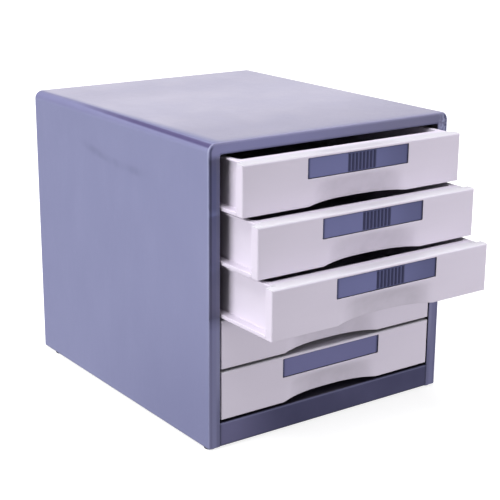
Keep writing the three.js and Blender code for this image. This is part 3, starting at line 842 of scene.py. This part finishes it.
def placed(name, pattern, finish, first, turn=(0, 0, 0), columns=1, column_step=(0, 0, 0), rows=1,
           row_step=(0, 0, 0), width=0.0):
    """Copies of a pattern piece in columns and rows, kept as one plain mesh."""
    piece = new_piece(name, bpy.data.meshes.new(name))
    modifier = piece.modifiers.new("copies", "NODES")
    modifier.node_group = copies_tree
    values = {
        "Pattern piece": pattern,
        "Columns": columns,
        "Column step": column_step,
        "Rows": rows,
        "Row step": row_step,
        "First place": first,
        "Turn": turn,
        "Finish": finish,
    }
    for label, value in values.items():
        modifier[input_identifiers[label]] = value
    if width > 0.0:
        soften(piece, width)
    plain_mesh(piece)
    if width == 0.0:
        piece.data.shade_smooth()
        piece.data.set_sharp_from_angle(angle=edge_angle)
    print(name, "has", len(piece.data.polygons), "faces")
    return piece


def dressed(piece, body, slot, *replaced):
    """Tie a finished piece to its body and let it stand for its CAD solids."""
    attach(piece, body)
    if replaced:
        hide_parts(*replaced)


# %% [markdown]
# ## The case
#
# The shell is one folded wrap: top and sides, a rim round the front opening and narrow flanges at the
# back and below. Its copy gets rounded edges a quarter of a millimetre wide, which is what a sheet
# 1.2 mm thick shows at a cut edge. The back and base panels are flat sheets, and the plinth is a folded
# channel. They are thinner, so their rounds are narrower.

# %% Shell, panels and plinth
shell_edge = 0.00025
panel_edge = 0.0002


def case_piece(name, solid_name, finish, slot, width):
    """One solid of the casing with soft edges and its finish."""
    pattern = new_piece("pattern_" + name, merged_copy(solid_name))
    piece = placed(name, pattern, finish, (0, 0, 0), width=width)
    bpy.data.objects.remove(pattern)
    dressed(piece, "casing", slot, solid_name)


case_piece("shell", "outer_shell", case_paint, "case_paint", shell_edge)
case_piece("back_sheet", "back_panel", case_paint, "case_paint", panel_edge)
case_piece("base_sheet", "base_panel", case_paint, "case_paint", panel_edge)
case_piece("plinth", "front_plinth", plinth_paint, "plinth_paint", panel_edge)

# %% [markdown]
# ## Turned pieces: screws and feet
#
# A pan-head screw and a rubber foot are both round about an axis. A profile turned about that axis gives
# either one. Blender's Screw modifier does the same, but a short function shows what a lathe does: each
# profile point becomes a ring of points, and neighbouring rings are joined by faces.

# %% A small lathe
lathe_sides = 32


def joined_rings(name, *stacks):
    """A closed skin over each stack of rings, with a face across its first and its last ring."""
    work = bmesh.new()
    for stack in stacks:
        rings = [[work.verts.new(place) for place in places] for places in stack]
        for lower, upper in zip(rings, rings[1:]):
            for i in range(len(lower)):
                j = (i + 1) % len(lower)
                work.faces.new((lower[i], lower[j], upper[j], upper[i]))
        work.faces.new(list(reversed(rings[0])))
        work.faces.new(rings[-1])
    bmesh.ops.recalc_face_normals(work, faces=work.faces)
    mesh = bpy.data.meshes.new(name)
    work.to_mesh(mesh)
    work.free()
    return mesh


def turned(name, profile):
    """Turn a profile of (radius, height) pairs, from bottom to top, about the Z axis."""
    angles = [2 * math.pi * i / lathe_sides for i in range(lathe_sides)]
    rings = []
    for radius, height in profile:
        rings.append([(radius * math.cos(angle), radius * math.sin(angle), height) for angle in angles])
    return joined_rings(name, rings)


# %% [markdown]
# A pan-head screw has a low dome on a short, straight rim, and a shank that narrows at its tip. Its zero
# is the top of the head, and the shank points down. The shares below turn a screw's few sizes into its
# whole form, so both kinds of screw come from one profile.

# %% The profile of a pan-head screw
dome_angles = (90, 75, 60, 45, 30, 15, 4)
dome_rise_share = 0.55
tip_radius_share = 0.4
underside_radius_share = 0.97
head_edge_share = 0.94


def screw_profile(head_radius, head_height, shank_radius, shank_length):
    tip = -head_height - shank_length
    profile = [
        (shank_radius * tip_radius_share, tip),
        (shank_radius, tip + shank_radius),
        (shank_radius, -head_height),
        (head_radius * underside_radius_share, -head_height),
        (head_radius, -head_height * head_edge_share),
    ]
    for degrees in dome_angles:
        angle = math.radians(degrees)
        drop = head_height * dome_rise_share * (1 - math.cos(angle))
        profile.append((head_radius * math.sin(angle), -drop))
    return profile


# %% [markdown]
# The head has a cross recess for the driver. It is cut with a Boolean modifier: two tapered blades make
# the cutter, and the modifier takes them out of the head. An image of a cross would be quicker, but it
# would look flat from the side and would catch no light.

# %% The cross recess and both screws
square_corners = ((-1, -1), (1, -1), (1, 1), (-1, 1))
recess_reach_share = 0.62
recess_depth_share = 0.7
recess_width_share = 0.22
recess_bottom_share = 0.55
cutter_overrun = 0.001


def cross_cutter(reach, depth, blade_width):
    """Two blades that cross, tapered towards the bottom, as one object."""
    blades = []
    for along_x in (True, False):
        blade = []
        for z, share in ((-depth, recess_bottom_share), (cutter_overrun, 1.0)):
            half_x, half_y = reach * share, blade_width / 2
            if not along_x:
                half_x, half_y = half_y, half_x
            blade.append([(sx * half_x, sy * half_y, z) for sx, sy in square_corners])
        blades.append(blade)
    return new_piece("cross_cutter", joined_rings("cross_cutter", *blades))


def screw_pattern(name, head_radius, head_height, shank_radius, shank_length):
    profile = screw_profile(head_radius, head_height, shank_radius, shank_length)
    screw = new_piece(name, turned(name, profile))
    cutter = cross_cutter(
        reach=head_radius * recess_reach_share,
        depth=head_height * recess_depth_share,
        blade_width=head_radius * recess_width_share,
    )
    cut = screw.modifiers.new("cross recess", "BOOLEAN")
    cut.operation = "DIFFERENCE"
    cut.solver = "EXACT"
    cut.object = cutter
    cut.use_self = True
    plain_mesh(screw)
    bpy.data.objects.remove(cutter)
    return screw


back_head = 0.0036
back_screw = screw_pattern(
    "pattern_back_screw", head_radius=back_head, head_height=0.0017, shank_radius=0.0017, shank_length=0.007
)
front_screw = screw_pattern(
    "pattern_front_screw", head_radius=0.0032, head_height=0.0019, shank_radius=0.0015, shank_length=0.013
)
print("screw faces:", len(back_screw.data.polygons), len(front_screw.data.polygons))

# %% [markdown]
# The back panel is held by six screws, in two columns of three. Each could be placed by its own box in
# the frame, but the first and the last are enough, because the tree works out the places between them.
# A screw's own axis is upright, so a quarter turn about X lays it down, with the head outwards.

# %% Six screws in the back
quarter_turn = (-math.pi / 2, 0, 0)
low_left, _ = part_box("back_screw_1")
_, top_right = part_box("back_screw_6")
head_corner = Vector((back_head, 0.0, back_head))
first_screw = Vector((low_left.x, top_right.y, low_left.z)) + head_corner
last_screw = top_right - head_corner
back_screws = placed(
    "back_screws",
    back_screw,
    screw_zinc,
    first_screw,
    turn=quarter_turn,
    columns=2,
    column_step=(last_screw.x - first_screw.x, 0, 0),
    rows=3,
    row_step=(0, 0, (last_screw.z - first_screw.z) / 2),
)
dressed(back_screws, "casing", "screw_steel", *[f"back_screw_{i}" for i in range(1, 7)])
bpy.data.objects.remove(back_screw)

# %% [markdown]
# A foot is pushed into a hole in the flange: a round pad stays below, a stem goes through the hole, and a
# barb that narrows to a tip holds it above. Its profile starts with the rounded edge of the pad.

# %% Four feet
pad_radius = 0.006
pad_top = 0.0017
pad_edge = [
    (0.0014, 0.0),
    (0.0008, 0.0001),
    (0.0003, 0.0004),
    (0.0, 0.0009),
    (0.0, 0.0014),
    (0.0002, pad_top),
]
stem_radius = 0.0025
stem_top = 0.0035
barb_radius = 0.0036
barb_edge = 0.0003
tip_radius = 0.0016
foot_top = 0.0062
foot_profile = [(pad_radius - inset, height) for inset, height in pad_edge] + [
    (stem_radius, pad_top),
    (stem_radius, stem_top),
    (barb_radius, stem_top),
    (barb_radius, stem_top + barb_edge),
    (tip_radius, foot_top),
]
foot = new_piece("pattern_foot", turned("pattern_foot", foot_profile))
foot_low, foot_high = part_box("foot_front_left")
far_low, far_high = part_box("foot_rear_right")
first_foot = (foot_low + foot_high) / 2
foot_span = (far_low + far_high) / 2 - first_foot
feet = placed(
    "feet",
    foot,
    foot_rubber,
    (first_foot.x, first_foot.y, foot_low.z),
    columns=2,
    column_step=(foot_span.x, 0, 0),
    rows=2,
    row_step=(0, foot_span.y, 0),
)
foot_names = ["foot_front_left", "foot_front_right", "foot_rear_left", "foot_rear_right"]
dressed(feet, "casing", "foot_rubber", *foot_names)
bpy.data.objects.remove(foot)

# %% [markdown]
# ## The drawers
#
# All five drawers are alike, so each of their pieces is prepared once, with a zero of its own: the middle
# of the case at x = 0, the face at y = 0 and the bottom at z = 0. The tree then places one copy per
# drawer. Each copy is its own mesh, because each drawer moves by itself.

# %% Pattern pieces of one drawer
front_pattern = new_piece("pattern_front", merged_copy("drawer_5_front", drawer_zero))
tray_pattern = new_piece("pattern_tray", merged_copy("drawer_5_tray", drawer_zero))
plate_pattern = new_piece("pattern_plate", merged_copy("drawer_5_label_plate", drawer_zero))
for pattern in (front_pattern, tray_pattern, plate_pattern):
    print(pattern.name, "has", len(pattern.data.polygons), "faces")

# %% [markdown]
# The bars on the upper three label plates are a small relief. One bar is an upright strip with a rounded
# face, drawn as a half round and stretched upwards, and the tree repeats it across the middle of the
# plate.

# %% One upright bar
bar_count = 8
bar_pitch = 2 * bar_field_half / bar_count
bar_width = 0.62 * bar_pitch
bar_relief = 0.0005
bar_root = 0.0006
bar_margin = 0.001
bar_steps = 8
bar_height = label_size.z - 2 * bar_margin


def bar_mesh():
    """A half round that stands out by bar_relief, with its root sunk into the plate."""
    outline = [(-bar_width / 2, bar_root)]
    for i in range(bar_steps + 1):
        angle = math.pi * i / bar_steps
        outline.append((-bar_width / 2 * math.cos(angle), -bar_relief * math.sin(angle)))
    outline.append((bar_width / 2, bar_root))
    rings = [[(x, y, height) for x, y in outline] for height in (0.0, bar_height)]
    return joined_rings("pattern_bar", rings)


bar_pattern = new_piece("pattern_bar", bar_mesh())
print("bar", round(bar_width * 1000, 2), "mm wide,", round(bar_height * 1000, 1), "mm high")

# %% [markdown]
# A drawer is a front, a tray, a label plate and two screws, and each of the upper three has its bars too.
# Where a drawer stands is read from its front's box in the frame, so how far it is pulled out needs no
# number here. The screws hold the hollow front from inside the tray.

# %% Place the five drawers
drawer_count = 5
barred_count = 3
moulded_edge = 0.00035
plate_edge = 0.0002
plate_face = label_low - drawer_zero
first_bar_x = label_shift + bar_field_shift - (bar_count - 1) * bar_pitch / 2


def place_screws(body):
    """The two screws that hold a front to its tray, with their heads inside the tray."""
    left_low, left_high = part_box(body + "_screw_left")
    right_low, right_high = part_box(body + "_screw_right")
    middle = (left_low + left_high) / 2
    span = (right_low.x + right_high.x) / 2 - middle.x
    first = (middle.x, left_high.y, middle.z)
    step = (span, 0, 0)
    screws = placed(
        body + "_screws", front_screw, screw_zinc, first, turn=quarter_turn, columns=2, column_step=step
    )
    dressed(screws, body, "screw_steel", body + "_screw_left", body + "_screw_right")


def place_drawer(number):
    body = f"drawer_{number}"
    face_low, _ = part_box(body + "_front")
    zero = Vector((0.0, face_low.y, face_low.z))
    face = placed(body + "_face", front_pattern, drawer_plastic, zero, width=moulded_edge)
    dressed(face, body, "drawer_plastic", body + "_front")
    tray = placed(body + "_box", tray_pattern, drawer_plastic, zero, width=moulded_edge)
    dressed(tray, body, "drawer_plastic", body + "_tray")
    barred = number <= barred_count
    plate_finish = barred_plastic if barred else label_plastic
    plate = placed(body + "_plate", plate_pattern, plate_finish, zero, width=plate_edge)
    dressed(plate, body, "label_plastic", body + "_label_plate")
    if barred:
        first = zero + Vector((first_bar_x, plate_face.y, plate_face.z + bar_margin))
        step = (bar_pitch, 0, 0)
        bars = placed(body + "_bars", bar_pattern, bar_plastic, first, columns=bar_count, column_step=step)
        dressed(bars, body, "label_plastic")
    place_screws(body)


for number in range(1, drawer_count + 1):
    place_drawer(number)
for used in (front_pattern, tray_pattern, plate_pattern, bar_pattern, front_screw):
    bpy.data.objects.remove(used)

# %% [markdown]
# ## The rails
#
# The ten rails keep their CAD solids: they are plain folded channels whose shape is already right, and
# they only need their plated finish. A material is given to a solid by filling its material slots.

# %% Plate the rails
rails = [name for name in solids if name.startswith("rail_")]
for name in rails:
    mesh = solids[name].data
    mesh.materials.clear()
    mesh.materials.append(rail_zinc)
print("plated", len(rails), "rails")

# %% [markdown]
# ## The studio
#
# The photograph shows the case on plain white, lit softly. The floor is a grey card that glows, like a
# lit table: glow and lamps together make it white, and the shadow beside the case stays light. It throws
# no light back at the case, because in the picture what faces down is dark, and it isn't mirrored in the
# satin paint.

# %% Floor and world
white = (1.0, 1.0, 1.0, 1.0)
card_grey = (0.30, 0.30, 0.30, 1.0)
card_glow = 0.82
floor_reach = 30.0
floor_corners = [(sx * floor_reach, sy * floor_reach, 0.0) for sx, sy in square_corners]
floor_mesh = bpy.data.meshes.new("floor")
floor_mesh.from_pydata(floor_corners, [], [(0, 1, 2, 3)])
floor = new_piece("floor", floor_mesh)
card = {"Base Color": card_grey, "Roughness": 0.9, "Emission Color": white, "Emission Strength": card_glow}
floor_mesh.materials.append(Finish("floor_card").shade(card))
floor.visible_diffuse = False
floor.visible_glossy = False

sky_strength = 0.26
world = bpy.data.worlds.new("studio")
world.use_nodes = True
background = world.node_tree.nodes["Background"]
background.inputs["Color"].default_value = white
background.inputs["Strength"].default_value = sky_strength
bpy.context.scene.world = world
print("floor and world ready")

# %% [markdown]
# The top and the left side are brighter than the fronts, so one wide light comes from above and one from
# the left. Both come a little from behind, which keeps the gaps beside the open drawers dark. A low lamp
# in front, to the right, lights the fronts, also that of the fourth drawer, under the one that is
# furthest out. It isn't mirrored in the satin paint either.

# %% Lamps
def lamp(name, kind, energy, source, place=(0.0, 0.0, 0.0)):
    """A light at place, whose rays come from the direction of source."""
    data = bpy.data.lights.new(name, kind)
    data.energy = energy
    light = new_piece(name, data)
    light.location = place
    light.rotation_mode = "QUATERNION"
    light.rotation_quaternion = Vector(source).to_track_quat("Z", "Y")
    return light


overhead = lamp("overhead", "SUN", energy=4.95, source=(-0.22, 0.10, 1.0))
overhead.data.angle = math.radians(45)
from_the_left = lamp("from_the_left", "SUN", energy=4.15, source=(-1.0, 0.12, 0.22))
from_the_left.data.angle = math.radians(36)
front_fill = lamp("front_fill", "AREA", energy=63.0, source=(1.3, -1.9, 0.1), place=(1.3, -2.0, 0.15))
front_fill.data.size = 0.5
front_fill.visible_glossy = False
bpy.context.scene.view_settings.view_transform = "Standard"
print("lamps:", overhead.name, from_the_left.name, front_fill.name)
